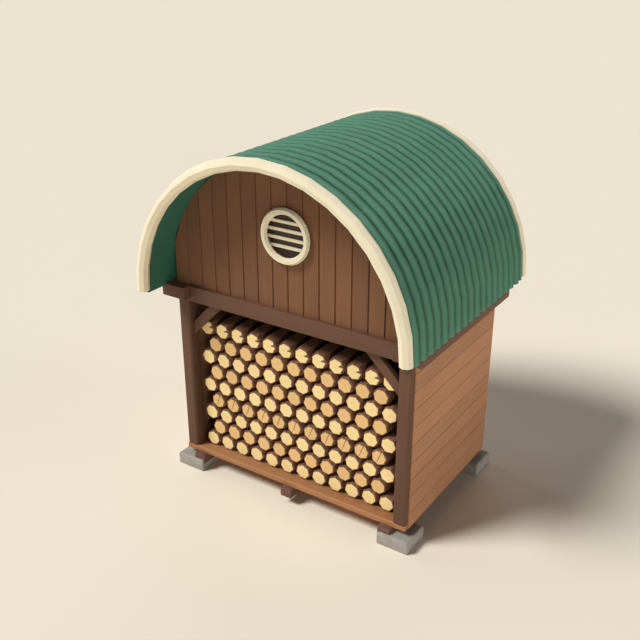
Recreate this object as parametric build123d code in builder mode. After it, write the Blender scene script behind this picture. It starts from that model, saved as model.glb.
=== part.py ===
"""Log store: a raised timber bay stacked with firewood under a corrugated barrel roof.

Millimetres, Z up.  The ground is z = 0, X runs across the open front, and the
front looks towards -Y.  Every sub-part is one solid, or one set of like solids
that do not touch.
"""
from build123d import *
from math import cos, pi, radians, sin, sqrt
import os

os.makedirs("parts", exist_ok=True)

# Feet and bearers
PAD_HEIGHT = 97.0
PAD_INNER_X = 807.0
PAD_OUTER_X = 1054.0
PAD_INNER_Y = 450.0
PAD_OUTER_Y = 700.0
PAD_CHAMFER = 10.0
BEARER_WIDTH = 94.0
BEARER_DEPTH = 74.0
BEARER_X = 848.0
BEARER_REACH = 682.0

# Floor
FLOOR_UNDERSIDE = 139.0
FLOOR_TOP = 180.5
FLOOR_HALF_WIDTH = 998.0
FLOOR_HALF_DEPTH = 640.0
FLOOR_CHAMFER = 8.0

# Frame
POST = 101.0
POST_CHAMFER = 12.0
HEADER_UNDERSIDE = 1458.0
HEADER_DEPTH = 90.0
PLATE_UNDERSIDE = 1484.0
PLATE_INNER_X = 881.0
PLATE_OUTER_X = 1092.0
PLATE_REACH = 699.0
BEAM_TOP = 1579.0
BRACE_WIDTH = 72.0
BRACE_THICKNESS = 44.0
BRACE_FRONT_Y = 602.0
BRACE_DROP = 293.0

# Cladding
BOARD = 12.0
CLADDING_FOOT = 146.0
SIDE_WALL_FRONT_Y = 603.0

# Arch
ARCH_FACETS = 18
ARCH_Z = 1591.5
SHEET_INNER_R = 1065.0
SHEET_VALLEY_R = 1088.0
SHEET_RIDGE_R = 1120.0
SHEET_REACH = 871.0
RIDGES = 17
RIDGE_PITCH = 100.0
POINTS_PER_RIDGE = 6
TRIM_SIDES = 8
TRIM_BAR_R = 46.0
TRIM_R = 1086.5
TRIM_Y = 900.0

# Gables and vent
GABLE_BOARD = 25.0
GABLE_FRONT_Y = 609.0
GABLE_HALF_WIDTH = 1024.0
VENT_Z = 2134.0
VENT_SIDES = 24
VENT_HOLE_R = 149.0
VENT_RING_R = 176.5
VENT_BAR_R = 25.0
SLATS = 4
SLAT_PITCH = 59.0
SLAT_HEIGHT = 22.0
SLAT_DEPTH = 12.0
SLAT_RECESS = 5.0

# Firewood
LOG_ROWS = 9
LOGS_IN_ROW = 12
LOG_SIDES = 7
LOG_PITCH = 145.0
LOG_GAP = 1.0
LOG_FRONT_Y = 557.0
LOG_LENGTH = 1100.0
ROW_TURN = -11.5


def front_plane(depth):
    """Plane facing the front at a distance forward of the centre."""
    return Plane(origin=(0, -depth, 0), x_dir=(1, 0, 0), z_dir=(0, -1, 0))


def level_plane(height):
    """Horizontal plane at a height above the ground."""
    return Plane(origin=(0, 0, height), x_dir=(1, 0, 0), z_dir=(0, 0, 1))


def arch_planes():
    """Planes across the arch, from the right springing over the crown to the left one."""
    planes = []
    for step in range(ARCH_FACETS + 1):
        turn = pi * step / ARCH_FACETS
        outward = (cos(turn), 0, sin(turn))
        onward = (-sin(turn), 0, cos(turn))
        planes.append(Plane(origin=(0, 0, ARCH_Z), x_dir=outward, z_dir=onward))
    return planes


def arch_outline(radius):
    """Corner points of a faceted half-round standing on the beams, seen from the front."""
    points = [(radius, BEAM_TOP)]
    for step in range(ARCH_FACETS + 1):
        turn = pi * step / ARCH_FACETS
        points.append((radius * cos(turn), ARCH_Z + radius * sin(turn)))
    points.append((-radius, BEAM_TOP))
    return points


def sheet_profile():
    """Section of the corrugated sheet: radius against depth, waves outside and flat inside."""
    steps = RIDGES * POINTS_PER_RIDGE
    middle = (SHEET_RIDGE_R + SHEET_VALLEY_R) / 2
    swing = (SHEET_RIDGE_R - SHEET_VALLEY_R) / 2
    points = [
        (SHEET_VALLEY_R, SHEET_REACH),
        (SHEET_INNER_R, SHEET_REACH),
        (SHEET_INNER_R, -SHEET_REACH),
        (SHEET_VALLEY_R, -SHEET_REACH),
    ]
    for step in range(steps + 1):
        depth = RIDGES * RIDGE_PITCH * (step / steps - 0.5)
        radius = middle - swing * cos(2 * pi * step / POINTS_PER_RIDGE)
        points.append((radius, depth))
    return points


def log_corners(row, radius):
    """Corners of a log's section about its own centre; each row is turned against the last."""
    corners = []
    for side in range(LOG_SIDES):
        turn = radians(360 * side / LOG_SIDES + row * ROW_TURN)
        corners.append((radius * cos(turn), radius * sin(turn)))
    return corners


def log_radius(row):
    """Radius at which the logs of a row stand side by side with only the log gap between."""
    across = [corner[0] for corner in log_corners(row, 1.0)]
    return (LOG_PITCH - LOG_GAP) / (max(across) - min(across))


def outline_heights(corners, across):
    """Lowest and highest point of a section at a distance across it."""
    heights = []
    for (x1, z1), (x2, z2) in zip(corners, corners[1:] + corners[:1]):
        if min(x1, x2) <= across <= max(x1, x2) and x1 != x2:
            heights.append(z1 + (z2 - z1) * (across - x1) / (x2 - x1))
    return min(heights), max(heights)


def row_rise(row):
    """Height of a row over the one below, so that each log rests in the hollow of two."""
    lower = log_corners(row - 1, log_radius(row - 1))
    upper = log_corners(row, log_radius(row))
    rises = []
    for shift in (-LOG_PITCH / 2, LOG_PITCH / 2):
        left = max(min(x for x, z in lower), min(x for x, z in upper) + shift)
        right = min(max(x for x, z in lower), max(x for x, z in upper) + shift)
        for x in [x for x, z in lower] + [x + shift for x, z in upper]:
            if left <= x <= right:
                top = outline_heights(lower, x)[1]
                underside = outline_heights(upper, x - shift)[0]
                rises.append(top - underside)
    return max(rises)


SIDES = (("left", -1), ("right", 1))
ENDS = (("front", -1), ("rear", 1))

# ---------------------------------------------------------------- concrete pads
PAD_X = (PAD_INNER_X + PAD_OUTER_X) / 2
PAD_Y = (PAD_INNER_Y + PAD_OUTER_Y) / 2

for end, y_sign in ENDS:
    for side, x_sign in SIDES:
        with BuildPart() as pad:
            with BuildSketch(level_plane(0)):
                with Locations((x_sign * PAD_X, y_sign * PAD_Y)):
                    Rectangle(PAD_OUTER_X - PAD_INNER_X, PAD_OUTER_Y - PAD_INNER_Y)
            extrude(amount=PAD_HEIGHT)
            chamfer(pad.edges().group_by(Axis.Z)[-1], PAD_CHAMFER)
        pad.part.label = f"pad_{end}_{side}"
        export_step(pad.part, f"parts/{pad.part.label}.step")

# ---------------------------------------------------------------- bearers, notched over the pads
for side, x_sign in SIDES:
    with BuildPart() as bearer:
        with BuildSketch(level_plane(FLOOR_UNDERSIDE - BEARER_DEPTH)):
            with Locations((x_sign * BEARER_X, 0)):
                Rectangle(BEARER_WIDTH, 2 * BEARER_REACH)
        extrude(amount=BEARER_DEPTH)
        with BuildSketch(level_plane(0)):
            with Locations((x_sign * PAD_X, -PAD_Y), (x_sign * PAD_X, PAD_Y)):
                Rectangle(PAD_OUTER_X - PAD_INNER_X, PAD_OUTER_Y - PAD_INNER_Y)
        extrude(amount=PAD_HEIGHT, mode=Mode.SUBTRACT)
    bearer.part.label = f"bearer_{side}"
    export_step(bearer.part, f"parts/{bearer.part.label}.step")

with BuildPart() as bearer_middle:
    with BuildSketch(level_plane(FLOOR_UNDERSIDE - BEARER_DEPTH)):
        Rectangle(BEARER_WIDTH, 2 * BEARER_REACH)
    extrude(amount=BEARER_DEPTH)
bearer_middle.part.label = "bearer_middle"
export_step(bearer_middle.part, f"parts/{bearer_middle.part.label}.step")

# ---------------------------------------------------------------- floor
with BuildPart() as floor_deck:
    with BuildSketch(level_plane(FLOOR_UNDERSIDE)):
        Rectangle(2 * FLOOR_HALF_WIDTH, 2 * FLOOR_HALF_DEPTH)
    extrude(amount=FLOOR_TOP - FLOOR_UNDERSIDE)
    chamfer(floor_deck.edges().group_by(Axis.Z)[-1].filter_by(Axis.X), FLOOR_CHAMFER)
floor_deck.part.label = "floor_deck"
export_step(floor_deck.part, f"parts/{floor_deck.part.label}.step")

# ---------------------------------------------------------------- posts
POST_X = FLOOR_HALF_WIDTH - POST / 2
POST_Y = FLOOR_HALF_DEPTH - POST / 2

for side, x_sign in SIDES:
    with BuildPart() as post_front:
        with BuildSketch(level_plane(FLOOR_TOP)):
            with Locations((x_sign * POST_X, -POST_Y)):
                Rectangle(POST, POST)
        extrude(amount=PLATE_UNDERSIDE - FLOOR_TOP)
        chamfer(post_front.edges().filter_by(Axis.Z).group_by(Axis.Y)[0], POST_CHAMFER)
    post_front.part.label = f"post_front_{side}"
    export_step(post_front.part, f"parts/{post_front.part.label}.step")

    with BuildPart() as post_rear:
        with BuildSketch(level_plane(FLOOR_TOP)):
            with Locations((x_sign * POST_X, POST_Y)):
                Rectangle(POST, POST)
        extrude(amount=PLATE_UNDERSIDE - FLOOR_TOP)
    post_rear.part.label = f"post_rear_{side}"
    export_step(post_rear.part, f"parts/{post_rear.part.label}.step")

# ---------------------------------------------------------------- eaves plates
PLATE_X = (PLATE_OUTER_X + PLATE_INNER_X) / 2

for side, x_sign in SIDES:
    with BuildPart() as eaves_plate:
        with BuildSketch(level_plane(PLATE_UNDERSIDE)):
            with Locations((x_sign * PLATE_X, 0)):
                Rectangle(PLATE_OUTER_X - PLATE_INNER_X, 2 * PLATE_REACH)
        extrude(amount=BEAM_TOP - PLATE_UNDERSIDE)
    eaves_plate.part.label = f"eaves_plate_{side}"
    export_step(eaves_plate.part, f"parts/{eaves_plate.part.label}.step")

# ---------------------------------------------------------------- headers, lipped under the plates
HEADER_HALF_LENGTH = FLOOR_HALF_WIDTH - POST
HEADER_Y = FLOOR_HALF_DEPTH - HEADER_DEPTH / 2

for end, y_sign in ENDS:
    with BuildPart() as header:
        with BuildSketch(level_plane(HEADER_UNDERSIDE)):
            with Locations((0, y_sign * HEADER_Y)):
                Rectangle(2 * HEADER_HALF_LENGTH, HEADER_DEPTH)
        extrude(amount=PLATE_UNDERSIDE - HEADER_UNDERSIDE)
        with BuildSketch(level_plane(PLATE_UNDERSIDE)):
            with Locations((0, y_sign * HEADER_Y)):
                Rectangle(2 * PLATE_INNER_X, HEADER_DEPTH)
        extrude(amount=BEAM_TOP - PLATE_UNDERSIDE)
    header.part.label = f"{end}_header"
    export_step(header.part, f"parts/{header.part.label}.step")

# ---------------------------------------------------------------- knee braces
POST_INNER_X = FLOOR_HALF_WIDTH - POST
BRACE_CUT = BRACE_WIDTH * sqrt(2)

for side, x_sign in SIDES:
    with BuildPart() as brace_front:
        with BuildSketch(front_plane(BRACE_FRONT_Y - BRACE_THICKNESS)):
            with BuildLine():
                Polyline(
                    (x_sign * POST_INNER_X, HEADER_UNDERSIDE - BRACE_DROP),
                    (x_sign * POST_INNER_X, HEADER_UNDERSIDE - BRACE_DROP + BRACE_CUT),
                    (x_sign * (POST_INNER_X - BRACE_DROP + BRACE_CUT), HEADER_UNDERSIDE),
                    (x_sign * (POST_INNER_X - BRACE_DROP), HEADER_UNDERSIDE),
                    close=True,
                )
            make_face()
        extrude(amount=BRACE_THICKNESS)
    brace_front.part.label = f"brace_front_{side}"
    export_step(brace_front.part, f"parts/{brace_front.part.label}.step")

# ---------------------------------------------------------------- walls, outside the posts and floor
SIDE_WALL_REAR_Y = FLOOR_HALF_DEPTH + BOARD
SIDE_WALL_X = FLOOR_HALF_WIDTH + BOARD / 2

for side, x_sign in SIDES:
    with BuildPart() as side_wall:
        with BuildSketch(level_plane(CLADDING_FOOT)):
            with Locations((x_sign * SIDE_WALL_X, (SIDE_WALL_REAR_Y - SIDE_WALL_FRONT_Y) / 2)):
                Rectangle(BOARD, SIDE_WALL_REAR_Y + SIDE_WALL_FRONT_Y)
        extrude(amount=PLATE_UNDERSIDE - CLADDING_FOOT)
    side_wall.part.label = f"side_wall_{side}"
    export_step(side_wall.part, f"parts/{side_wall.part.label}.step")

with BuildPart() as rear_wall:
    with BuildSketch(level_plane(CLADDING_FOOT)):
        with Locations((0, FLOOR_HALF_DEPTH + BOARD / 2)):
            Rectangle(2 * FLOOR_HALF_WIDTH, BOARD)
    extrude(amount=PLATE_UNDERSIDE - CLADDING_FOOT)
rear_wall.part.label = "rear_wall"
export_step(rear_wall.part, f"parts/{rear_wall.part.label}.step")

# ---------------------------------------------------------------- gables
with BuildPart() as front_gable:
    with BuildSketch(front_plane(GABLE_FRONT_Y - GABLE_BOARD)):
        with BuildLine():
            Polyline(*arch_outline(SHEET_INNER_R), close=True)
        make_face()
        with Locations((0, BEAM_TOP)):
            Rectangle(2 * GABLE_HALF_WIDTH, 3 * SHEET_INNER_R, mode=Mode.INTERSECT)
        with Locations((0, VENT_Z)):
            RegularPolygon(VENT_HOLE_R, VENT_SIDES, mode=Mode.SUBTRACT)
    extrude(amount=GABLE_BOARD)
front_gable.part.label = "front_gable"
export_step(front_gable.part, f"parts/{front_gable.part.label}.step")

with BuildPart() as rear_gable:
    with BuildSketch(front_plane(-GABLE_FRONT_Y)):
        with BuildLine():
            Polyline(*arch_outline(SHEET_INNER_R), close=True)
        make_face()
        with Locations((0, BEAM_TOP)):
            Rectangle(2 * GABLE_HALF_WIDTH, 3 * SHEET_INNER_R, mode=Mode.INTERSECT)
    extrude(amount=GABLE_BOARD)
rear_gable.part.label = "rear_gable"
export_step(rear_gable.part, f"parts/{rear_gable.part.label}.step")

# ---------------------------------------------------------------- gable vent
VENT_BAR_HALF_DEPTH = VENT_BAR_R * sin(pi / 3)
VENT_BAR_HALF_FACE = VENT_BAR_R * cos(pi / 3)

with BuildPart() as vent_ring:
    for step, swell in enumerate((VENT_BAR_HALF_FACE, VENT_BAR_R, VENT_BAR_HALF_FACE)):
        with BuildSketch(front_plane(GABLE_FRONT_Y + step * VENT_BAR_HALF_DEPTH)):
            with Locations((0, VENT_Z)):
                RegularPolygon(VENT_RING_R + swell, VENT_SIDES)
    loft(ruled=True)
    for step, swell in enumerate((VENT_BAR_HALF_FACE, VENT_BAR_R, VENT_BAR_HALF_FACE)):
        with BuildSketch(front_plane(GABLE_FRONT_Y + step * VENT_BAR_HALF_DEPTH)):
            with Locations((0, VENT_Z)):
                RegularPolygon(VENT_RING_R - swell, VENT_SIDES)
    loft(ruled=True, mode=Mode.SUBTRACT)
vent_ring.part.label = "vent_ring"
export_step(vent_ring.part, f"parts/{vent_ring.part.label}.step")

with BuildPart() as vent_louvres:
    with BuildSketch(front_plane(GABLE_FRONT_Y - SLAT_RECESS - SLAT_DEPTH)):
        with Locations((0, VENT_Z)):
            with GridLocations(0, SLAT_PITCH, 1, SLATS):
                Rectangle(3 * VENT_HOLE_R, SLAT_HEIGHT)
            RegularPolygon(VENT_HOLE_R, VENT_SIDES, mode=Mode.INTERSECT)
    extrude(amount=SLAT_DEPTH)
vent_louvres.part.label = "vent_louvres"
export_step(vent_louvres.part, f"parts/{vent_louvres.part.label}.step")

# ---------------------------------------------------------------- roof
RIGHT_FOOT = Plane(origin=(0, 0, BEAM_TOP), x_dir=(1, 0, 0), z_dir=(0, 0, 1))
LEFT_FOOT = Plane(origin=(0, 0, BEAM_TOP), x_dir=(-1, 0, 0), z_dir=(0, 0, -1))

with BuildPart() as roof_sheet:
    for station in [RIGHT_FOOT] + arch_planes() + [LEFT_FOOT]:
        with BuildSketch(station):
            with BuildLine():
                Polyline(*sheet_profile(), close=True)
            make_face()
    loft(ruled=True)
roof_sheet.part.label = "roof_sheet"
export_step(roof_sheet.part, f"parts/{roof_sheet.part.label}.step")

# Each trim is an eight-sided bar, planed flat where it meets the end of the sheet.
for end, y_sign in ENDS:
    with BuildPart() as bargeboard:
        for station in arch_planes():
            with BuildSketch(station):
                with Locations((TRIM_R, y_sign * TRIM_Y)):
                    RegularPolygon(TRIM_BAR_R, TRIM_SIDES)
                with Locations((TRIM_R, y_sign * (SHEET_REACH + TRIM_BAR_R))):
                    Rectangle(2 * TRIM_BAR_R, 2 * TRIM_BAR_R, mode=Mode.INTERSECT)
        loft(ruled=True)
    bargeboard.part.label = f"{end}_bargeboard"
    export_step(bargeboard.part, f"parts/{bargeboard.part.label}.step")

# ---------------------------------------------------------------- firewood
centre_height = FLOOR_TOP - min(z for x, z in log_corners(1, log_radius(1)))

for row in range(1, LOG_ROWS + 1):
    if row > 1:
        centre_height += row_rise(row)
    logs = LOGS_IN_ROW - (row + 1) % 2
    with BuildPart() as log_row:
        with BuildSketch(front_plane(LOG_FRONT_Y - LOG_LENGTH)):
            with Locations((0, centre_height)):
                with GridLocations(LOG_PITCH, 0, logs, 1):
                    Polygon(*log_corners(row, log_radius(row)), align=None)
        extrude(amount=LOG_LENGTH)
    log_row.part.label = f"log_row_{row}"
    export_step(log_row.part, f"parts/{log_row.part.label}.step")
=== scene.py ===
"""Log store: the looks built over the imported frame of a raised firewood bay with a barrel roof.

Every length is in metres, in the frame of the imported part: the ground is z = 0, the open front
looks towards -Y and X runs across it.  New pieces are numpy surfaces: a profile carried along a
path, with its place in the mesh and the object at the origin.
"""
import math

import bmesh
import bpy
import numpy as np
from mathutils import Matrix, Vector


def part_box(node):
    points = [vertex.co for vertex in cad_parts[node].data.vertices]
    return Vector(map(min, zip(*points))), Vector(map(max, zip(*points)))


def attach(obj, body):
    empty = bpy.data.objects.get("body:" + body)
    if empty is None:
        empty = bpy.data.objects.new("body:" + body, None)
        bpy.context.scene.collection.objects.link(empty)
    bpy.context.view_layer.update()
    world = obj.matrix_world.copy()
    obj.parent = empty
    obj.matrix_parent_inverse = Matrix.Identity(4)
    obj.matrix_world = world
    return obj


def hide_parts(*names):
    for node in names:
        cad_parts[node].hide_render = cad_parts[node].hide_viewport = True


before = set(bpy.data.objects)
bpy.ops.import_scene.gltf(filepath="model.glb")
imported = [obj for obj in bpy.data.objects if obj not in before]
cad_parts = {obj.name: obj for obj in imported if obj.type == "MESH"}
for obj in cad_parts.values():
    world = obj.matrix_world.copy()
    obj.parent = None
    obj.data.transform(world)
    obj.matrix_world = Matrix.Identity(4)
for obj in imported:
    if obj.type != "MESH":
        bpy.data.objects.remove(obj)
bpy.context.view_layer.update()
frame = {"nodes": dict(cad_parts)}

bl_info = {
    "name": "Log Store",
    "version": (1, 0, 0),
    "blender": (4, 5, 0),
    "location": "3D View > Sidebar > Log Store",
    "description": "Dresses the packed log store with sheet, boards, trims, firewood and finishes",
    "category": "Object",
}

BODY = "root"
SIDES = (("left", -1), ("right", 1))
ENDS = (("front", -1), ("rear", 1))

# Counts and steps of the solids that the pieces stand for
ARCH_FACETS = 18
LOG_SIDES = 7
LOG_ROWS = 9
LOGS_IN_ROW = 12
ROW_TURN = math.radians(-11.5)
RING_STEPS = 24
VENT_SLATS = 4
SLAT_PITCH = 0.059

# Points over one rib of the sheet, then fine steps in metres and angles of the eased copies
RIB_POINTS = 13
TOP_GAP = 0.002
SLAT_EASE = 0.002
BARK_STEP = 0.001
MESH_INSETS = (0.003, 0.001)
MERGE_DISTANCE = 1e-5
FLAT_ANGLE = math.radians(1.0)
EDGE_ANGLE = math.radians(30.0)

# First seeds of the tones of boards and logs, the even tone of a frame timber, and how far from it
# the two outer bearers are
GABLE_SEED = 11
WALL_SEED = 21
LOG_SEED = 40
EVEN_TONE = 0.5
BEARER_TONE = 0.3

# Names of the value that each board or log carries, and of the map of the cut ends
BAR_VALUE = "board"
END_MAP = "log_end"

# Finishes.  Noise keeps mostly to NOISE_SPAN.  A split in a cut end has an angle in degrees, a
# start from the pith, the growth of half its width along it, and half its width at its start.
# A split is drawn, not cut: its dark colour is painted shade.
NOISE_SPAN = (0.3, 0.7)
GRAIN_CONTRAST = 0.12
RING_PITCH = 0.0075
WIRE_PITCH = 0.004
BITTEN_ROW = 9
CRACKED_ROW = 4
BITE = (14.0, 0.020, 0.28, 0.0040)
CRACK = (70.0, -0.045, 0.0, 0.0030)
# The next four are painted light and shade on the roof sheet: a painted highlight and painted shade
# on the two sides of each rib, and painted shade darker towards the top of the roof, each with the
# heights over which it changes.
FLANK_PAINTED_LIGHT = (-0.3, -0.55)
FLANK_HEIGHTS = (2.35, 2.65)
TOP_PAINTED_SHADE = (1.0, 0.8)
TOP_SHADE_HEIGHTS = (2.42, 2.6)

# Stage.  Each lamp has a name, its azimuth and elevation, its strength and its spread, in degrees.
LAMPS = (
    ("studio_key", 226.4, 49.0, 2.75, 20.0),
    ("studio_low_front", -45.0, 5.0, 0.60, 20.0),
    ("studio_low_right", 15.0, 5.0, 0.96, 20.0),
    ("studio_left", 180.0, 20.0, 0.55, 30.0),
    ("studio_rear", 120.0, 50.0, 0.32, 40.0),
)
WORLD_LIGHT = 0.02
FLOOR_SPAN = 150.0
CAMERA_PLACE = (3.3035, -5.1862, 4.1208)
CAMERA_AIM = (-0.50214, 0.75625, -0.41946)
CAMERA_LENS = 50.17
CAMERA_SENSOR = 36.0
CAMERA_REACH = 1000.0

ROOF_LOW, ROOF_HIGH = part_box("roof_sheet")
TRIM_LOW, TRIM_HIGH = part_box("front_bargeboard")
GABLE_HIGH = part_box("front_gable")[1]
RING_LOW, RING_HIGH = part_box("vent_ring")
WALL_LOW, WALL_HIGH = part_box("side_wall_right")
ARCH_Z = ROOF_HIGH.z - ROOF_HIGH.x
VENT_Z = (RING_LOW.z + RING_HIGH.z) / 2


def linear(code):
    """Linear red, green and blue of an sRGB hex colour: each byte over 255, then the sRGB curve
    undone, v / 12.92 for the darkest values and ((v + 0.055) / 1.055) to the power of 2.4 for the
    rest."""
    values = [int(code[i : i + 2], 16) / 255 for i in (1, 3, 5)]
    return tuple(v / 12.92 if v <= 0.04045 else ((v + 0.055) / 1.055) ** 2.4 for v in values)


def length(name, description, default, low=0.0, high=3.0):
    """A size in metres for a property group."""
    return bpy.props.FloatProperty(
        name=name,
        description=description,
        default=default,
        min=low,
        max=high,
        subtype="DISTANCE",
        unit="LENGTH",
    )


def colour(name, description, default):
    """A colour for a property group, given as an sRGB hex code."""
    return bpy.props.FloatVectorProperty(
        name=name,
        description=description,
        default=linear(default),
        size=3,
        min=0.0,
        max=1.0,
        subtype="COLOR",
    )


class LogStoreSizes(bpy.types.PropertyGroup):
    """Sizes of the pieces that dress the frame."""

    valley_radius: length("Valley radius", "Radius of the sheet at the bottom of its waves", 1.082)
    lining_radius: length("Lining radius", "Radius of the smooth underside of the sheet", 1.065)
    rib_pitch: length("Rib pitch", "Distance from one rib of the sheet to the next", 0.0991, 0.02)
    rib_shift: length("Rib shift", "Place along Y of the roof's middle rib", -0.0085, -0.1)
    rib_width: length("Rib width", "Width of one half-round rib of the sheet", 0.09, 0.01)
    foot_drop: length("Foot drop", "How far the sheet hangs past the plates' top", 0.015, 0.0, 0.05)
    trim_bar: length("Trim bar", "Radius of the eight-sided bar of the trims", 0.046, 0.02, 0.08)
    gable_board: length("Gable board", "Width of one upright gable board", 0.128, 0.05)
    gable_groove: length("Gable groove", "Half width of a groove of the gables", 0.006, 0.0, 0.02)
    cladding_board: length("Cladding board", "Height of one wall board", 0.1376, 0.05)
    cladding_start: length("First joint", "Height of the walls' lowest joint", 0.284, 0.1)
    cladding_groove: length("Wall groove", "Half width of a groove of the walls", 0.0045, 0.0, 0.02)
    groove_depth: length("Groove depth", "Depth of the grooves between boards", 0.013, 0.0, 0.02)
    vent_bar: length("Vent bar", "Radius of the six-sided bar of the vent ring", 0.025, 0.01, 0.05)
    vent_hole: length("Vent hole", "Radius of the hole in the boards behind the ring", 0.167, 0.05)
    log_pitch: length("Log pitch", "Distance from one log to the next in a row", 0.145, 0.05)
    log_gap: length("Log gap", "Gap between neighbouring logs of a row", 0.001, 0.0, 0.02)
    cut_face: length("Cut face", "Radius of the seven-sided cut face of a log", 0.0565, 0.02)
    bark_rim: length("Bark rim", "Width of the bark round the cut face", 0.0075, 0.0, 0.03)
    trimmed_end: length("Trimmed end", "Length over which a log narrows to its rim", 0.07, 0.0, 0.3)
    eased_edge: length("Eased edge", "Width of the timbers' eased edges", 0.002, 0.0, 0.02)
    end_depth: length("Cut end", "How far the cut wood stands proud of the bark", 0.004, 0.0, 0.02)


class LogStoreColours(bpy.types.PropertyGroup):
    """Colours of the finishes."""

    sheet: colour("Sheet", "Green coating of the corrugated sheet", "#547d69")
    # The valleys' colour stands for dirt and for painted shade in the valleys.
    sheet_valley_dirt_and_shade: colour("Sheet valleys", "Green coating dulled by dirt in the valleys", "#265440")
    lining: colour("Sheet lining", "Backing coat on the underside of the sheet", "#38705c")
    cream: colour("Cream paint", "Paint on the trims and the vent", "#f7eacd")
    gable: colour("Gable boards", "Stained gable boards", "#774f33")
    frame: colour("Frame", "Stained frame timber", "#61412c")
    cladding: colour("Cladding", "Oiled wall boards", "#af7b56")
    floor: colour("Floor", "Floor boards", "#a97449")
    bearer: colour("Bearers", "Treated bearers under the floor", "#6b4a3c")
    concrete: colour("Concrete", "Cast concrete pads", "#a4a095")
    bark: colour("Bark", "Bark of the logs", "#8e664e")
    fresh_end: colour("Pale ends", "Cut ends of the paler rows of logs", "#fcdfa1")
    dull_end: colour("Dull ends", "Cut ends of the duller rows of logs", "#ebc285")
    vent_mesh: colour("Vent mesh", "Dark insect mesh behind the slats", "#3a2e2b")
    ground: colour("Ground", "Floor round the log store", "#fcf2de")
    backdrop: colour("Backdrop", "What is seen past the floor", "#ede4d1")


# ------------------------------------------------------------------ meshes
def bars_mesh(name, bars, closed=False, smooth=False):
    """Mesh of several bars.  bars[bar, station, corner] holds points: in each bar a closed profile
    of corners is carried from station to station, and each neighbouring pair of corners and
    stations gives one four-sided face.  Open bars get the first and last profile as end faces;
    closed ones join up."""
    bars = np.asarray(bars, float)
    count, stations, corners = bars.shape[:3]
    index = np.arange(count * stations * corners).reshape(count, stations, corners)
    ahead = np.roll(index, -1, axis=2)
    if closed:
        here, there = (index, ahead), (np.roll(index, -1, axis=1), np.roll(ahead, -1, axis=1))
    else:
        here, there = (index[:, :-1], ahead[:, :-1]), (index[:, 1:], ahead[:, 1:])
    faces = np.stack((here[0], here[1], there[1], there[0]), axis=-1).reshape(-1, 4).tolist()
    if not closed:
        faces += index[:, 0, ::-1].tolist() + index[:, -1].tolist()
    mesh = bpy.data.meshes.new(name)
    mesh.from_pydata(bars.reshape(-1, 3), [], faces)
    mesh.validate()
    if enclosed_volume(bars, closed) < 0:
        mesh.flip_normals()
    mesh.shade_smooth() if smooth else mesh.shade_flat()
    mesh.update()
    return mesh


def enclosed_volume(bars, closed):
    """Signed volume of the first bar: its section's area vector at each span, dotted with the step
    to the next section, so that a profile running the other way round gives a negative number."""
    first = bars[0]
    centres = first.mean(axis=1)
    arms = first - centres[:, None]
    areas = np.cross(arms, np.roll(arms, -1, axis=1)).sum(axis=1) / 2
    steps = np.roll(centres, -1, axis=0) - centres
    if not closed:
        areas, steps = areas[:-1], steps[:-1]
    return float((areas * steps).sum())


def set_bar_values(mesh, values):
    """Stores a value from 0 to 1 on each point, which the finishes read as the tone of its bar."""
    attribute = mesh.attributes.new(BAR_VALUE, "FLOAT", "POINT")
    attribute.data.foreach_set("value", np.asarray(values, np.float32))


def vary_bars(mesh, bars, seed):
    """Gives each bar one random value, on all its points, so that finishes vary board by board."""
    count, points = bars.shape[0], bars.shape[1] * bars.shape[2]
    set_bar_values(mesh, np.repeat(np.random.default_rng(seed).random(count), points))


def set_second_material(mesh, faces):
    """Gives a slice of the mesh's faces the second material, and the rest the first."""
    slots = np.zeros(len(mesh.polygons), np.int32)
    slots[faces] = 1
    mesh.polygons.foreach_set("material_index", slots)


def place(name, mesh, slot, *nodes):
    """Links a finished piece, sets it on the frame's body and lets it stand for its CAD nodes."""
    piece = bpy.data.objects.new(name, mesh)
    bpy.context.scene.collection.objects.link(piece)
    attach(piece, BODY)
    if nodes:
        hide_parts(*nodes)
    return piece


def arch_stations(profile, foot=None):
    """Carries a profile of (radius, depth) over the faceted arch, every ten degrees, to
    (r cos a, depth, springing + r sin a).  With a foot it first comes up from that height at radius
    r, and ends there."""
    radius, depth = profile[:, 0], profile[:, 1]
    turn = np.linspace(0.0, math.pi, ARCH_FACETS + 1)[:, None]
    across = radius * np.cos(turn)
    height = ARCH_Z + radius * np.sin(turn)
    if foot is not None:
        across = np.vstack((radius, across, -radius))
        height = np.vstack((np.full_like(radius, foot), height, np.full_like(radius, foot)))
    return np.stack((across, np.broadcast_to(depth, across.shape), height), axis=-1)


def arch_height(across, radius):
    """Height of the faceted arch of a radius at a distance from the middle, by straight lines
    between its corners."""
    turn = np.linspace(math.pi, 0.0, ARCH_FACETS + 1)
    return np.interp(across, radius * np.cos(turn), ARCH_Z + radius * np.sin(turn))


def grooved_section(left, right, back, front, groove, depth_in, samples=9):
    """Section of one board: flat back, flat face, and at both face edges a bevel as wide as half
    the groove and as deep as the groove.  The back and face are cut into equal parts, so that an
    end can follow a curve."""
    face = np.linspace(left + groove, right - groove, samples)
    rear = np.linspace(right, left, samples)
    shoulder = front + np.sign(back - front) * depth_in
    across = np.concatenate(([left], face, [right], rear))
    near, far = np.full(samples, front), np.full(samples, back)
    depth = np.concatenate(([shoulder], near, [shoulder], far))
    return np.stack((across, depth), axis=-1)


def wall_board(sections, places, across):
    """Points of one level board: each section of (height, depth) is set at its place along the
    wall, which runs along Y where the depth lies across X, and along X where it lies across Y."""
    stations = []
    for section, place_along in zip(sections, places):
        height, depth = section[:, 0], section[:, 1]
        along = np.full_like(height, place_along)
        level = (depth, along) if across == 0 else (along, depth)
        stations.append(np.stack((*level, height), axis=-1))
    return np.stack(stations)


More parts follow.
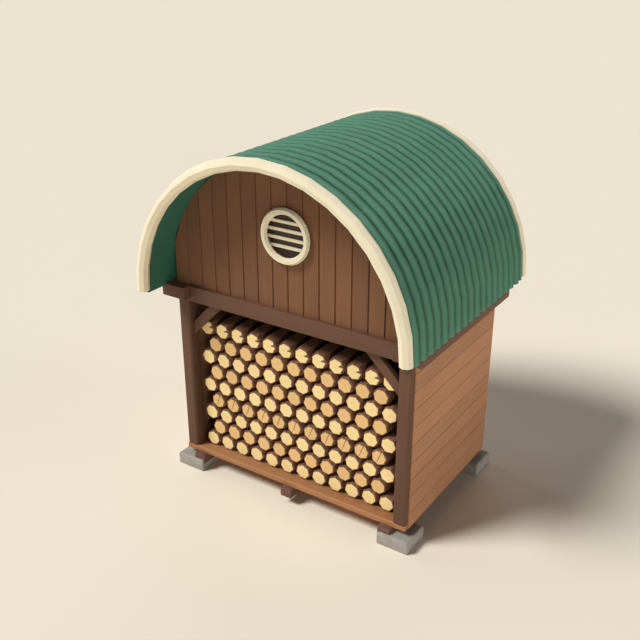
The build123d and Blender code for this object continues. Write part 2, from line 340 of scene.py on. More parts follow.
def sheet_section(sizes):
    """Section of the sheet as radius against depth: half-round ribs, where the radius is the
    valley's plus the rise times the root of (1 - (distance from the crest / half the rib's width)
    squared), with flat valleys between, cut off at the roof's reach, and the lining's radius
    inside."""
    reach = ROOF_HIGH.y
    ribs = 2 * int(reach / sizes.rib_pitch + 0.5) + 1
    turn = np.linspace(-math.pi / 2, math.pi / 2, RIB_POINTS)
    crests = (np.arange(ribs) - (ribs - 1) / 2) * sizes.rib_pitch + sizes.rib_shift
    depth = (crests[:, None] + sizes.rib_width / 2 * np.sin(turn)).ravel()
    wave = sizes.valley_radius + np.tile((ROOF_HIGH.x - sizes.valley_radius) * np.cos(turn), ribs)
    kept = np.abs(depth) < reach
    start = [(sizes.lining_radius, -reach), (sizes.valley_radius, -reach)]
    end = [(sizes.valley_radius, reach), (sizes.lining_radius, reach)]
    return np.vstack((start, np.stack((wave, depth), axis=-1)[kept], end))


def log_steps(sizes, radius, front, back):
    """Radius against depth along one log.  From each end: the cut face, its edge where it stands
    proud, the bark rim a step behind it, and the full radius once the trimmed length is past."""
    wood, rim = sizes.cut_face, sizes.cut_face + sizes.bark_rim
    inset = (0.0, sizes.end_depth, sizes.end_depth + BARK_STEP, sizes.trimmed_end)
    depths = [front + step for step in inset] + [back - step for step in reversed(inset)]
    return np.stack(((wood, wood, rim, radius, radius, rim, wood, wood), depths), axis=-1)


# ------------------------------------------------------------------ materials
def feed(tree, node, inputs):
    """Links each socket to its named or numbered input, and sets constants on the input itself."""
    for key, value in inputs.items():
        if isinstance(value, bpy.types.NodeSocket):
            tree.links.new(value, node.inputs[key])
        else:
            node.inputs[key].default_value = value


def add(tree, kind, inputs, **settings):
    """Adds a node, sets its properties and feeds its inputs."""
    node = tree.nodes.new(kind)
    for key, value in settings.items():
        setattr(node, key, value)
    feed(tree, node, inputs)
    return node


def math_step(tree, operation, *values):
    """The result of one step of arithmetic on numbers or sockets."""
    return add(tree, "ShaderNodeMath", dict(enumerate(values)), operation=operation).outputs[0]


def remap(tree, value, out=(0.0, 1.0), over=(0.0, 1.0)):
    """The value carried by a straight line from one range to another, and held at its ends."""
    ranges = {"From Min": over[0], "From Max": over[1], "To Min": out[0], "To Max": out[1]}
    return add(tree, "ShaderNodeMapRange", {"Value": value, **ranges}).outputs[0]


def noise(tree, where, scale, detail, distortion=0.0):
    """Noise round 0.5 in patches of about one over the scale."""
    settings = {"Scale": scale, "Detail": detail, "Distortion": distortion}
    return add(tree, "ShaderNodeTexNoise", {"Vector": where, **settings}).outputs["Fac"]


def ramped(tree, value, over, first, last):
    """A colour that goes from the first to the last as the value passes over a range."""
    ramp = add(tree, "ShaderNodeValToRGB", {"Fac": value})
    for stop, position, rgba in zip(ramp.color_ramp.elements, over, (first, last)):
        stop.position = position
        stop.color = rgba
    return ramp.outputs["Color"]


def graded(tree, value, over, rgb, low, high):
    """A colour times a factor that goes from low to high as the value passes over a range."""
    return ramped(tree, value, over, shade(rgb, low), shade(rgb, high))


def toned(tree, rgb, factor):
    """A colour, constant or socket, times a factor."""
    inputs = {0: rgb, "Scale": factor}
    return add(tree, "ShaderNodeVectorMath", inputs, operation="SCALE").outputs[0]


def bumped(tree, height, strength, distance):
    """The normal of a surface that rises by up to the distance with the height."""
    inputs = {"Height": height, "Strength": strength, "Distance": distance}
    return add(tree, "ShaderNodeBump", inputs).outputs["Normal"]


def object_place(tree):
    """Object coordinates, which are the frame's metres, because every piece lies at the origin."""
    return add(tree, "ShaderNodeTexCoord", {}).outputs["Object"]


def turned_place(tree, where, rotation):
    """Coordinates turned about the origin by the angles."""
    return add(tree, "ShaderNodeMapping", {"Vector": where, "Rotation": rotation}).outputs[0]


def grain_place(tree, where, grain, across, along):
    """Coordinates scaled by one number across the grain and by a smaller one along it."""
    scale = [across] * 3
    scale["XYZ".index(grain)] = along
    return add(tree, "ShaderNodeMapping", {"Vector": where, "Scale": scale}).outputs[0]


def bar_value(tree):
    """The value from 0 to 1 that the board or log carries."""
    return add(tree, "ShaderNodeAttribute", {}, attribute_name=BAR_VALUE).outputs["Fac"]


def new_material(name, viewport):
    """An empty material with an output and a principled shader, and the shader's tree."""
    material = bpy.data.materials.new(name)
    material.use_nodes = True
    material.diffuse_color = (*viewport, 1.0)
    tree = material.node_tree
    tree.nodes.clear()
    shader = add(tree, "ShaderNodeBsdfPrincipled", {})
    add(tree, "ShaderNodeOutputMaterial", {"Surface": shader.outputs["BSDF"]})
    return material, tree, shader


def shade(rgb, factor):
    """A colour made lighter or darker by a factor, with an opaque alpha."""
    return (*(min(1.0, c * factor) for c in rgb), 1.0)


def timber(name, rgb, grain, turn=0.0):
    """Sawn softwood, stained or oiled: soft bands of early and late wood along the grain, about 14
    mm apart, with 2 mm fibres over them, a dull surface, and a tone that changes from board to
    board."""
    material, tree, shader = new_material(name, rgb)
    where = object_place(tree)
    turned = turned_place(tree, where, (0.0, turn, 0.0))
    bands = grain_place(tree, turned, grain, across=70.0, along=1.6)
    fibres = grain_place(tree, turned, grain, across=420.0, along=9.0)
    band = noise(tree, bands, scale=1.0, detail=3.0, distortion=0.4)
    fibre = noise(tree, fibres, scale=1.0, detail=2.0)
    patch = noise(tree, where, scale=2.2, detail=2.0)
    grained = math_step(tree, "MULTIPLY_ADD", fibre, 0.35, band)
    wood = graded(tree, grained, (0.45, 0.95), rgb, 1 - GRAIN_CONTRAST, 1 + GRAIN_CONTRAST)
    board_tone = remap(tree, bar_value(tree), out=(0.9, 1.1))
    patch_tone = remap(tree, patch, out=(0.95, 1.05), over=NOISE_SPAN)
    tone = math_step(tree, "MULTIPLY", board_tone, patch_tone)
    looks = {
        "Base Color": toned(tree, wood, tone),
        "Roughness": remap(tree, band, out=(0.64, 0.82)),
        "Normal": bumped(tree, grained, strength=0.35, distance=0.002),
    }
    feed(tree, shader, looks)
    return material


def coated_sheet(rgb, valley_rgb, pitch, shift):
    """Colour-coated galvanised steel, roll-formed: a matt weathered green, darker where the
    cosine of pi (y - shift) / pitch is near zero, in the valleys between the ribs, with dirt and
    painted shade there.  The colour is also multiplied by b - a sin(2 pi (y - shift) / pitch): a
    painted highlight on the side of a rib that faces the open front and painted shade on its other
    side, with a from 0.3 to 0.55 and b from 1 to 0.8 up the last third of the roof, which is
    painted shade darker towards the top.  That part is painted light and shade: it stands in for
    stronger light and shade between the ribs' two sides than the lamps give, so it doesn't follow
    the light."""
    material, tree, shader = new_material("colour_coated_corrugated_steel", rgb)
    where = object_place(tree)
    split = add(tree, "ShaderNodeSeparateXYZ", {0: where}).outputs
    phase = math_step(tree, "MULTIPLY_ADD", split["Y"], math.pi / pitch, -shift * math.pi / pitch)
    crown = math_step(tree, "ABSOLUTE", math_step(tree, "COSINE", phase))
    weather = noise(tree, where, scale=7.0, detail=5.0)
    off_valley = math_step(tree, "MULTIPLY_ADD", weather, 0.25, crown)
    # The valleys are darker: dirt, and painted shade where the valleys lie in shade.
    coat = ramped(tree, off_valley, (0.2, 0.5), (*valley_rgb, 1.0), shade(rgb, 1.0))
    chalk = remap(tree, weather, out=(0.94, 1.06), over=NOISE_SPAN)
    # Painted light and shade: the front flank of each rib painted lighter, the rear flank darker,
    # and the whole painted darker towards the top of the roof.
    flank = math_step(tree, "SINE", math_step(tree, "MULTIPLY", phase, 2.0))
    flank_light = remap(tree, split["Z"], out=FLANK_PAINTED_LIGHT, over=FLANK_HEIGHTS)
    top_shade = remap(tree, split["Z"], out=TOP_PAINTED_SHADE, over=TOP_SHADE_HEIGHTS)
    # This factor is painted light and shade, not wear.
    worn = math_step(tree, "MULTIPLY_ADD", flank, flank_light, top_shade)
    looks = {
        "Base Color": toned(tree, coat, math_step(tree, "MULTIPLY", worn, chalk)),
        "Roughness": remap(tree, weather, out=(0.75, 0.9)),
        "Specular IOR Level": 0.05,
    }
    feed(tree, shader, looks)
    return material


def cream_paint(rgb):
    """Cream oil paint brushed on planed softwood: a satin surface, faintly uneven where the brush
    passed, in patches of about 6 mm, and slightly uneven in colour."""
    material, tree, shader = new_material("brushed_cream_paint", rgb)
    where = object_place(tree)
    brush = noise(tree, where, scale=160.0, detail=3.0)
    weather = noise(tree, where, scale=4.0, detail=4.0)
    looks = {
        "Base Color": graded(tree, weather, NOISE_SPAN, rgb, 0.95, 1.02),
        "Roughness": remap(tree, weather, out=(0.42, 0.6)),
        "Normal": bumped(tree, brush, strength=0.12, distance=0.001),
        "Specular IOR Level": 0.3,
    }
    feed(tree, shader, looks)
    return material


def cast_concrete(rgb):
    """Concrete cast in a steel mould: a matt grey mottled over 60 mm, with 3 mm air holes,
    painted darker as painted shade inside them.
    """
    material, tree, shader = new_material("cast_concrete", rgb)
    where = object_place(tree)
    mottle = noise(tree, where, scale=16.0, detail=6.0)
    holes = add(tree, "ShaderNodeTexVoronoi", {"Vector": where, "Scale": 90.0}).outputs["Distance"]
    solid = remap(tree, holes, over=(0.08, 0.2))
    cement = graded(tree, mottle, NOISE_SPAN, rgb, 0.88, 1.08)
    # The air holes are painted darker: painted shade in the holes.
    looks = {
        "Base Color": toned(tree, cement, remap(tree, solid, out=(0.8, 1.0))),
        "Roughness": 0.88,
        "Normal": bumped(tree, solid, strength=0.4, distance=0.0015),
        "Specular IOR Level": 0.3,
    }
    feed(tree, shader, looks)
    return material


def bark_skin(rgb):
    """Bark of a young softwood log: furrows along it about 12 mm apart, scaly and quite matt."""
    material, tree, shader = new_material("softwood_bark", rgb)
    furrows = grain_place(tree, object_place(tree), "Y", across=80.0, along=14.0)
    furrow = noise(tree, furrows, scale=1.0, detail=4.0, distortion=0.6)
    bark = graded(tree, furrow, (0.35, 0.65), rgb, 0.74, 1.1)
    looks = {
        "Base Color": toned(tree, bark, remap(tree, bar_value(tree), out=(0.9, 1.1))),
        "Roughness": 0.9,
        "Normal": bumped(tree, furrow, strength=0.5, distance=0.004),
        "Specular IOR Level": 0.2,
    }
    feed(tree, shader, looks)
    return material


def painted_split_shade(tree, face, split):
    """Painted shade: a dark tone inside a split, which is drawn and not cut, and 1 elsewhere.  With
    x measured out along the split from its start and y across it, roughened by noise, the split is
    where |y| is less than half its width there, which is its half width at the start plus the
    growth times x."""
    angle, start, growth, half_width = split
    turned = turned_place(tree, face, (0.0, 0.0, math.radians(-angle)))
    part = add(tree, "ShaderNodeSeparateXYZ", {0: turned}).outputs
    out = math_step(tree, "SUBTRACT", part["X"], start)
    half = math_step(tree, "MULTIPLY_ADD", out, growth, half_width)
    rag = noise(tree, face, scale=70.0, detail=2.0)
    ragged = math_step(tree, "MULTIPLY_ADD", rag, 0.012, -0.006)
    away = math_step(tree, "ABSOLUTE", math_step(tree, "ADD", part["Y"], ragged))
    inside = remap(tree, math_step(tree, "SUBTRACT", half, away), over=(0.0, 0.0012))
    begun = remap(tree, out, over=(0.0, 0.002))
    return remap(tree, math_step(tree, "MULTIPLY", inside, begun), out=(1.0, 0.16))


def cut_end(name, rgb, split=None):
    """Sawn end of a softwood log: growth rings 7.5 mm apart round the pith, a slightly darker heart
    and fine saw marks.  The rings are drawn from the piece's own map, which is centred on each log,
    as the sine of 2 pi over their pitch times the distance from the pith, made uneven by noise."""
    material, tree, shader = new_material(name, rgb)
    face = add(tree, "ShaderNodeUVMap", {}, uv_map=END_MAP).outputs[0]
    wobble = noise(tree, face, scale=18.0, detail=2.0)
    radius = add(tree, "ShaderNodeVectorMath", {0: face}, operation="LENGTH").outputs["Value"]
    ringed = math_step(tree, "MULTIPLY_ADD", wobble, 0.02, radius)
    rings = math_step(tree, "SINE", math_step(tree, "MULTIPLY", ringed, 2 * math.pi / RING_PITCH))
    ring_tone = remap(tree, rings, out=(0.95, 1.03), over=(-1.0, 1.0))
    heart = remap(tree, ringed, out=(0.94, 1.0), over=(0.01, 0.035))
    log_tone = remap(tree, bar_value(tree), out=(0.96, 1.04))
    tone = math_step(tree, "MULTIPLY", math_step(tree, "MULTIPLY", ring_tone, heart), log_tone)
    # A split darkens the cut end: painted shade, as the split is drawn and not cut.
    if split:
        tone = math_step(tree, "MULTIPLY", tone, painted_split_shade(tree, face, split))
    saw = noise(tree, face, scale=260.0, detail=2.0)
    looks = {
        "Base Color": toned(tree, rgb, tone),
        "Roughness": 0.8,
        "Normal": bumped(tree, saw, strength=0.15, distance=0.001),
        "Specular IOR Level": 0.2,
    }
    feed(tree, shader, looks)
    return material


def backing_coat(rgb):
    """Thin polyester backing coat on the underside of the sheet: an even matt green, faintly
    blotched where damp has dried on it."""
    material, tree, shader = new_material("polyester_backing_coat", rgb)
    damp = noise(tree, object_place(tree), scale=5.0, detail=4.0)
    looks = {
        "Base Color": toned(tree, rgb, remap(tree, damp, out=(0.9, 1.1))),
        "Roughness": remap(tree, damp, out=(0.6, 0.75)),
        "Specular IOR Level": 0.25,
    }
    feed(tree, shader, looks)
    return material


def woven_mesh(rgb):
    """Insect mesh woven from dark coated wire: wires 4 mm apart here, three times as coarse as real
    mesh, which would be too fine to show, with the holes between them painted darker, as painted
    shade seen through them.  The height is the larger of the sines of 2 pi x and 2 pi z over the
    wires' pitch."""
    material, tree, shader = new_material("woven_wire_insect_mesh", rgb)
    split = add(tree, "ShaderNodeSeparateXYZ", {0: object_place(tree)}).outputs
    turns = 2 * math.pi / WIRE_PITCH
    phases = [math_step(tree, "MULTIPLY", split[axis], turns) for axis in "XZ"]
    wires = math_step(tree, "MAXIMUM", *[math_step(tree, "SINE", phase) for phase in phases])
    # The holes between the wires are painted darker: painted shade seen through the mesh.
    looks = {
        "Base Color": toned(tree, rgb, remap(tree, wires, out=(0.7, 1.15), over=(-0.5, 1.0))),
        "Roughness": 0.6,
        "Normal": bumped(tree, wires, strength=0.4, distance=0.0006),
    }
    feed(tree, shader, looks)
    return material


def eased_copy(node, material, slot, width, tone=EVEN_TONE):
    """Stands for a CAD node with a copy whose edges are eased: doubles merged, flat faces joined,
    and a bevel of the width on every edge sharper than thirty degrees.  The tone is the value of
    its one bar."""
    form = bmesh.new()
    form.from_mesh(frame["nodes"][node].data)
    bmesh.ops.remove_doubles(form, verts=form.verts, dist=MERGE_DISTANCE)
    bmesh.ops.dissolve_limit(form, angle_limit=FLAT_ANGLE, verts=form.verts, edges=form.edges)
    bmesh.ops.recalc_face_normals(form, faces=form.faces)
    mesh = bpy.data.meshes.new(f"{node}_eased")
    form.to_mesh(mesh)
    form.free()
    mesh.shade_smooth()
    set_bar_values(mesh, np.full(len(mesh.vertices), tone))
    mesh.materials.append(material)
    piece = place(f"{node}_eased", mesh, slot, node)
    bevel = piece.modifiers.new("eased_edges", "BEVEL")
    bevel.width = width
    bevel.segments = 2
    bevel.limit_method = "ANGLE"
    bevel.angle_limit = EDGE_ANGLE
    bevel.harden_normals = True


# ------------------------------------------------------------------ operators
class LOGSTORE_OT_sheet(bpy.types.Operator):
    """Corrugated barrel roof sheet, ribbed outside and smooth inside"""

    bl_idname = "logstore.sheet"
    bl_label = "Roof Sheet"

    def execute(self, context):
        """The sheet's section is carried over the faceted arch.  The edges at the section's square
        corners, where it turns to its ends and its lining, stay sharp, and the inner faces get the
        backing coat."""
        sizes = context.scene.log_store_sizes
        colours = context.scene.log_store_colours
        section = sheet_section(sizes)
        corners = len(section)
        bars = arch_stations(section, ROOF_LOW.z - sizes.foot_drop)[None]
        mesh = bars_mesh("roof_sheet_corrugated", bars, smooth=True)
        points = np.zeros(len(mesh.edges) * 2, np.int32)
        mesh.edges.foreach_get("vertices", points)
        square = (0, 1, corners - 2, corners - 1)
        sharp = np.isin(points.reshape(-1, 2) % corners, square).all(axis=1)
        mesh.attributes.new("sharp_edge", "BOOLEAN", "EDGE").data.foreach_set("value", sharp)
        # The second colour is the valleys' dirt and painted shade.
        green, dirt = colours.sheet[:], colours.sheet_valley_dirt_and_shade[:]
        mesh.materials.append(coated_sheet(green, dirt, sizes.rib_pitch, sizes.rib_shift))
        mesh.materials.append(backing_coat(colours.lining[:]))
        sides = (bars.shape[1] - 1) * corners
        set_second_material(mesh, slice(corners - 1, sides, corners))
        place("roof_sheet_corrugated", mesh, "green_sheet", "roof_sheet")
        return {"FINISHED"}


class LOGSTORE_OT_trims(bpy.types.Operator):
    """Arched cream trims at both ends of the roof"""

    bl_idname = "logstore.trims"
    bl_label = "Arched Trims"

    def execute(self, context):
        """Section: a regular eight-sided bar with a corner every 45 degrees, at
        (radius + bar cos a, depth - bar sin a), cut flat where it meets the sheet, at the width
        that its straight sides have there.  It is carried over the faceted arch."""
        bar = context.scene.log_store_sizes.trim_bar
        paint = cream_paint(context.scene.log_store_colours.cream[:])
        turn = np.radians((0.0, 45.0, 90.0, 135.0, 180.0))
        shoulder = bar * math.sqrt(0.5)
        back = TRIM_HIGH.y - TRIM_LOW.y - bar
        narrow = bar - (bar - shoulder) * back / shoulder
        reach = np.concatenate((bar * np.cos(turn), (-narrow, narrow)))
        forward = np.concatenate((bar * np.sin(turn), (-back, -back)))
        for end, sign in ENDS:
            depth = sign * (-TRIM_LOW.y - bar + forward)
            bars = arch_stations(np.stack((TRIM_HIGH.x - bar + reach, depth), axis=-1))[None]
            mesh = bars_mesh(f"{end}_trim", bars)
            mesh.materials.append(paint)
            place(f"{end}_trim", mesh, "cream_paint", f"{end}_bargeboard")
        return {"FINISHED"}


class LOGSTORE_OT_gables(bpy.types.Operator):
    """Upright boards that close both ends under the roof"""

    bl_idname = "logstore.gables"
    bl_label = "Gable Boards"

    def execute(self, context):
        """Each board is its section carried from the eaves beam up to the faceted arch, whose
        height is read at each point of the section.  Boards that meet the vent stop at a round
        hole, at the vent's middle height less or plus the root of the hole's radius squared less
        the distance squared."""
        sizes = context.scene.log_store_sizes
        stain = timber("stained_gable_boards", context.scene.log_store_colours.gable[:], "Z")
        edges = np.arange(-GABLE_HIGH.x, GABLE_HIGH.x + MERGE_DISTANCE, sizes.gable_board)
        hole, groove = sizes.vent_hole, sizes.gable_groove
        for end, sign in ENDS:
            low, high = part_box(f"{end}_gable")
            front, back = (low.y, high.y) if sign < 0 else (high.y, low.y)
            bars = []
            for left, right in zip(edges[:-1], edges[1:]):
                section = grooved_section(left, right, back, front, groove, sizes.groove_depth)
                x, y = section[:, 0], section[:, 1]
                foot = np.full_like(x, low.z)
                top = arch_height(x, sizes.lining_radius - TOP_GAP)
                cuts = [(foot, top)]
                if end == "front" and min(abs(left), abs(right)) < hole:
                    reach = np.sqrt(np.clip(hole**2 - x**2, 0.0, None))
                    cuts = [(foot, VENT_Z - reach), (VENT_Z + reach, top)]
                bars += [np.stack([np.stack((x, y, z), axis=-1) for z in cut]) for cut in cuts]
            bars = np.array(bars)
            mesh = bars_mesh(f"{end}_gable_boards", bars)
            vary_bars(mesh, bars, GABLE_SEED + sign)
            mesh.materials.append(stain)
            place(f"{end}_gable_boards", mesh, "gable_boards", f"{end}_gable")
        return {"FINISHED"}


class LOGSTORE_OT_cladding(bpy.types.Operator):
    """Level boards of the two side walls and the rear wall"""

    bl_idname = "logstore.cladding"
    bl_label = "Wall Boards"

    def execute(self, context):
        """Each board is its section of height against depth, carried straight along the wall; at
        both ends the section draws in by half the groove's width."""
        sizes = context.scene.log_store_sizes
        oil = context.scene.log_store_colours.cladding[:]
        groove, board = sizes.cladding_groove, sizes.cladding_board
        joints = np.arange(sizes.cladding_start, WALL_HIGH.z - board / 3, board)
        heights = np.concatenate(([WALL_LOW.z], joints, [WALL_HIGH.z]))
        walls = (("side_wall_left", 0, -1), ("side_wall_right", 0, 1), ("rear_wall", 1, 1))
        oiled = [timber(f"oiled_wall_boards_{axis}", oil, axis) for axis in "YX"]
        for seed, (wall, across, sign) in enumerate(walls, WALL_SEED):
            low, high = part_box(wall)
            front, back = (high[across], low[across]) if sign > 0 else (low[across], high[across])
            drawn_in = front + np.sign(back - front) * groove
            start, end = low[1 - across], high[1 - across]
            places = (start, start + groove, end - groove, end)
            bars = []
            for foot, top in zip(heights[:-1], heights[1:]):
                full = grooved_section(foot, top, back, front, groove, groove, 2)
                lower, upper = foot + groove, top - groove
                tip = grooved_section(lower, upper, back, drawn_in, groove, groove, 2)
                bars.append(wall_board((tip, full, full, tip), places, across))
            bars = np.array(bars)
            mesh = bars_mesh(f"{wall}_boards", bars)
            vary_bars(mesh, bars, seed)
            mesh.materials.append(oiled[across])
            place(f"{wall}_boards", mesh, "cladding", wall)
        return {"FINISHED"}


class LOGSTORE_OT_vent(bpy.types.Operator):
    """Round cream vent with level slats and an insect mesh behind them"""

    bl_idname = "logstore.vent"
    bl_label = "Gable Vent"

    def execute(self, context):
        """The ring is a six-sided bar bent through 24 steps about the vent's middle: its corners
        lie at (radius + bar cos a, depth + bar sin a) every 60 degrees.  Each slat is a bar with
        eased edges cut to the chord of the hole at its height, and the mesh is a thin disc."""
        sizes = context.scene.log_store_sizes
        colours = context.scene.log_store_colours
        paint = bpy.data.materials.get("brushed_cream_paint") or cream_paint(colours.cream[:])
        bar, hole, ease = sizes.vent_bar, sizes.vent_hole, SLAT_EASE
        around = np.radians(np.arange(0.0, 360.0, 60.0))
        reach = RING_HIGH.x - bar + bar * np.cos(around)
        depth = (RING_LOW.y + RING_HIGH.y) / 2 + bar * np.sin(around)
        turn = np.linspace(0.0, 2 * math.pi, RING_STEPS + 1)[:-1, None]
        x, z = reach * np.cos(turn), VENT_Z + reach * np.sin(turn)
        ring = np.stack((x, np.broadcast_to(depth, x.shape), z), axis=-1)
        mesh = bars_mesh("vent_ring_painted", ring[None], closed=True)
        mesh.materials.append(paint)
        place("vent_ring_painted", mesh, "cream_paint", "vent_ring")

        low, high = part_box("vent_louvres")
        tall = (high.z - low.z - (VENT_SLATS - 1) * SLAT_PITCH) / 2
        front, back = (low.y + ease, low.y), (high.y - ease, high.y)
        y = np.array((*front, *reversed(front), *back, *reversed(back)))
        foot, top = (-tall, ease - tall), (tall - ease, tall)
        rise = np.array((*foot, *top, *reversed(top), *reversed(foot)))
        bars = []
        for step in np.arange(VENT_SLATS) - (VENT_SLATS - 1) / 2:
            height = step * SLAT_PITCH + rise
            half = np.sqrt(hole**2 - height**2)
            bars.append([np.stack((side * half, y, VENT_Z + height), axis=-1) for _, side in SIDES])
        mesh = bars_mesh("vent_slats_painted", bars)
        mesh.materials.append(paint)
        place("vent_slats_painted", mesh, "cream_paint", "vent_louvres")

        x, z = hole * np.cos(turn[:, 0]), VENT_Z + hole * np.sin(turn[:, 0])
        depths = [np.full_like(x, GABLE_HIGH.y - inset) for inset in MESH_INSETS]
        faces = [np.stack((x, y, z), axis=-1) for y in depths]
        mesh = bars_mesh("vent_insect_mesh", [faces])
        mesh.materials.append(woven_mesh(colours.vent_mesh[:]))
        place("vent_insect_mesh", mesh, "gable_boards")
        return {"FINISHED"}


class LOGSTORE_OT_logs(bpy.types.Operator):
    """Nine rows of seven-sided logs with bark and cut ends"""

    bl_idname = "logstore.logs"
    bl_label = "Firewood"

    def execute(self, context):
        """A log is a seven-sided section carried along its length: radius times (cos, sin) of its
        corner angles.  Near each end the section narrows to the rim, and steps in to the cut face,
        which stands proud of the bark.  The map of the cut ends is the distance from the log's own
        middle."""
        sizes = context.scene.log_store_sizes
        colours = context.scene.log_store_colours
        fresh, worn = colours.fresh_end[:], colours.dull_end[:]
        bark = bark_skin(colours.bark[:])
        pale = cut_end("sawn_end_grain_pale", fresh)
        dull = cut_end("sawn_end_grain_dull", worn)
        split_ends = {
            BITTEN_ROW: cut_end("sawn_end_grain_bitten", fresh, BITE),
            CRACKED_ROW: cut_end("sawn_end_grain_cracked", worn, CRACK),
        }
        for row in range(1, LOG_ROWS + 1):
            low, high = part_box(f"log_row_{row}")
            turn = np.arange(LOG_SIDES) * 2 * math.pi / LOG_SIDES + row * ROW_TURN
            corner_x, corner_z = np.cos(turn), np.sin(turn)
            radius = (sizes.log_pitch - sizes.log_gap) / (corner_x.max() - corner_x.min())
            centre_z = low.z - corner_z.min() * radius
            count = LOGS_IN_ROW - (row + 1) % 2
            centre_x = (np.arange(count) - (count - 1) / 2) * sizes.log_pitch
            steps = log_steps(sizes, radius, low.y, high.y)
            reach, depth = steps[:, 0, None], steps[:, 1, None]
            own = np.stack((reach * corner_x, reach * corner_z), axis=-1)
            x = centre_x[:, None, None] + own[..., 0]
            z = np.broadcast_to(centre_z + own[..., 1], x.shape)
            bars = np.stack((x, np.broadcast_to(depth, x.shape), z), axis=-1)
            mesh = bars_mesh(f"firewood_row_{row}", bars)
            vary_bars(mesh, bars, LOG_SEED + row)
            corner_of = np.zeros(len(mesh.loops), np.int32)
            mesh.loops.foreach_get("vertex_index", corner_of)
            flat = np.tile(own.reshape(-1, 2), (count, 1))[corner_of]
            mesh.uv_layers.new(name=END_MAP).data.foreach_set("uv", flat.ravel())
            mesh.materials.append(bark)
            mesh.materials.append(split_ends.get(row, pale if row % 2 else dull))
            set_second_material(mesh, slice(count * (len(steps) - 1) * LOG_SIDES, None))
            place(f"firewood_row_{row}", mesh, "log_bark", f"log_row_{row}")
        return {"FINISHED"}


class LOGSTORE_OT_frame(bpy.types.Operator):
    """Finishes of the posts, beams, braces, bearers, floor and pads"""

    bl_idname = "logstore.frame"
    bl_label = "Frame and Floor"

    def execute(self, context):
        """Each CAD node of the frame is copied with its edges eased, and gets its finish with the
        grain along the timber and a tone of its own."""
        colours = context.scene.log_store_colours
        ease = context.scene.log_store_sizes.eased_edge
        stain = colours.frame[:]
        upright = timber("stained_frame_timber_z", stain, "Z")
        lengthwise = timber("stained_frame_timber_y", stain, "Y")
        crosswise = timber("stained_frame_timber_x", stain, "X")
        deck = timber("oiled_floor_boards", colours.floor[:], "X")
        bearer = timber("treated_bearer_timber", colours.bearer[:], "Y")
        pads = cast_concrete(colours.concrete[:])
        for side, sign in SIDES:
            slope = sign * math.pi / 4
            slant = timber(f"stained_brace_timber_{side}", stain, "Z", slope)
            eased_copy(f"brace_front_{side}", slant, "frame_timber", ease)
            eased_copy(f"eaves_plate_{side}", lengthwise, "frame_timber", ease)
            tone = EVEN_TONE + BEARER_TONE * sign
            eased_copy(f"bearer_{side}", bearer, "bearer_timber", ease, tone)
            for end, _ in ENDS:
                eased_copy(f"post_{end}_{side}", upright, "frame_timber", ease)
                eased_copy(f"pad_{end}_{side}", pads, "concrete", 2 * ease)
        eased_copy("bearer_middle", bearer, "bearer_timber", ease)
        eased_copy("floor_deck", deck, "floor_boards", ease)
        for end, _ in ENDS:
            eased_copy(f"{end}_header", crosswise, "frame_timber", ease)
        return {"FINISHED"}


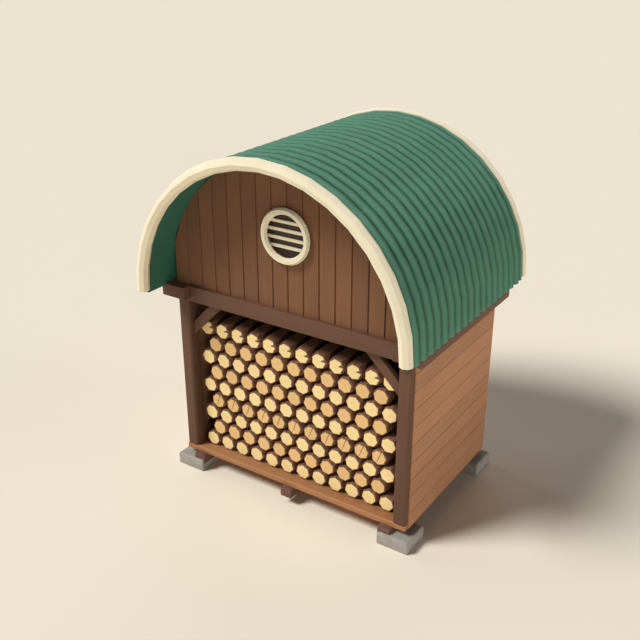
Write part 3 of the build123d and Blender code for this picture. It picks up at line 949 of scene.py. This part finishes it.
class LOGSTORE_OT_stage(bpy.types.Operator):
    """Pale floor, soft studio light and the camera"""

    bl_idname = "logstore.stage"
    bl_label = "Stage"

    def execute(self, context):
        """Lays a wide level floor, hangs the lamps, and places the camera so that it looks down on
        the open front and the right side.  A lamp at azimuth a and elevation e shines along
        (-cos a cos e, -sin a cos e, -sin e).  The world lights the scene a little, and camera,
        glossy and transmission rays see the backdrop's colour in it."""
        scene = context.scene
        colours = scene.log_store_colours
        square = ((-1, -1), (1, -1), (1, 1), (-1, 1))
        corners = [(x * FLOOR_SPAN, y * FLOOR_SPAN, 0.0) for x, y in square]
        mesh = bpy.data.meshes.new("studio_floor")
        mesh.from_pydata(corners, [], [range(4)])
        material, tree, shader = new_material("matt_studio_floor", colours.ground)
        matt = {"Base Color": (*colours.ground, 1.0), "Roughness": 1.0, "Specular IOR Level": 0.0}
        feed(tree, shader, matt)
        mesh.materials.append(material)
        floor = bpy.data.objects.new("studio_floor", mesh)
        scene.collection.objects.link(floor)

        world = bpy.data.worlds.new("studio_world")
        world.use_nodes = True
        tree = world.node_tree
        tree.nodes.clear()
        rays = add(tree, "ShaderNodeLightPath", {}).outputs
        seen = math_step(tree, "MAXIMUM", rays["Is Camera Ray"], rays["Is Glossy Ray"])
        seen = math_step(tree, "MAXIMUM", seen, rays["Is Transmission Ray"])
        light = {"Color": (1.0, 1.0, 1.0, 1.0), "Strength": WORLD_LIGHT}
        glow = add(tree, "ShaderNodeBackground", light).outputs[0]
        sight = {"Color": (*colours.backdrop, 1.0), "Strength": 1.0}
        backdrop = add(tree, "ShaderNodeBackground", sight).outputs[0]
        both = add(tree, "ShaderNodeMixShader", {0: seen, 1: glow, 2: backdrop}).outputs[0]
        add(tree, "ShaderNodeOutputWorld", {"Surface": both})
        scene.world = world

        for name, azimuth, elevation, strength, spread in LAMPS:
            sun = bpy.data.lights.new(name, "SUN")
            sun.energy = strength
            sun.angle = math.radians(spread)
            lamp = bpy.data.objects.new(name, sun)
            around, up = math.radians(azimuth), math.radians(elevation)
            level = math.cos(up)
            shine = Vector((-math.cos(around) * level, -math.sin(around) * level, -math.sin(up)))
            lamp.rotation_euler = shine.to_track_quat("-Z", "Y").to_euler()
            scene.collection.objects.link(lamp)

        camera = bpy.data.objects.new("studio_camera", bpy.data.cameras.new("studio_camera"))
        camera.data.sensor_width = CAMERA_SENSOR
        camera.data.lens = CAMERA_LENS
        camera.data.clip_end = CAMERA_REACH
        camera.location = CAMERA_PLACE
        camera.rotation_euler = Vector(CAMERA_AIM).to_track_quat("-Z", "Y").to_euler()
        scene.collection.objects.link(camera)
        context.scene.camera = camera
        context.scene.view_settings.view_transform = "Standard"
        return {"FINISHED"}


OPERATORS = (
    LOGSTORE_OT_stage,
    LOGSTORE_OT_sheet,
    LOGSTORE_OT_trims,
    LOGSTORE_OT_gables,
    LOGSTORE_OT_cladding,
    LOGSTORE_OT_vent,
    LOGSTORE_OT_logs,
    LOGSTORE_OT_frame,
)


class LOGSTORE_PT_pieces(bpy.types.Panel):
    """Lists the pieces of the log store"""

    bl_idname = "LOGSTORE_PT_pieces"
    bl_label = "Log Store"
    bl_space_type = "VIEW_3D"
    bl_region_type = "UI"
    bl_category = "Log Store"

    def draw(self, context):
        """A button for each operator, then the sizes and the colours."""
        for operator in OPERATORS:
            self.layout.operator(operator.bl_idname)
        for group in (context.scene.log_store_sizes, context.scene.log_store_colours):
            for key in group.bl_rna.properties.keys():
                if key not in {"rna_type", "name"}:
                    self.layout.prop(group, key)


CLASSES = (LogStoreSizes, LogStoreColours, *OPERATORS, LOGSTORE_PT_pieces)


def register():
    """Registers the classes and hangs the sizes and colours on the scene."""
    for cls in CLASSES:
        bpy.utils.register_class(cls)
    bpy.types.Scene.log_store_sizes = bpy.props.PointerProperty(type=LogStoreSizes)
    bpy.types.Scene.log_store_colours = bpy.props.PointerProperty(type=LogStoreColours)


def unregister():
    """Takes away what register added."""
    del bpy.types.Scene.log_store_colours
    del bpy.types.Scene.log_store_sizes
    for cls in reversed(CLASSES):
        bpy.utils.unregister_class(cls)


def main():
    register()
    for operator in OPERATORS:
        group, name = operator.bl_idname.split(".")
        getattr(getattr(bpy.ops, group), name)()


if __name__ == "__main__":
    main()
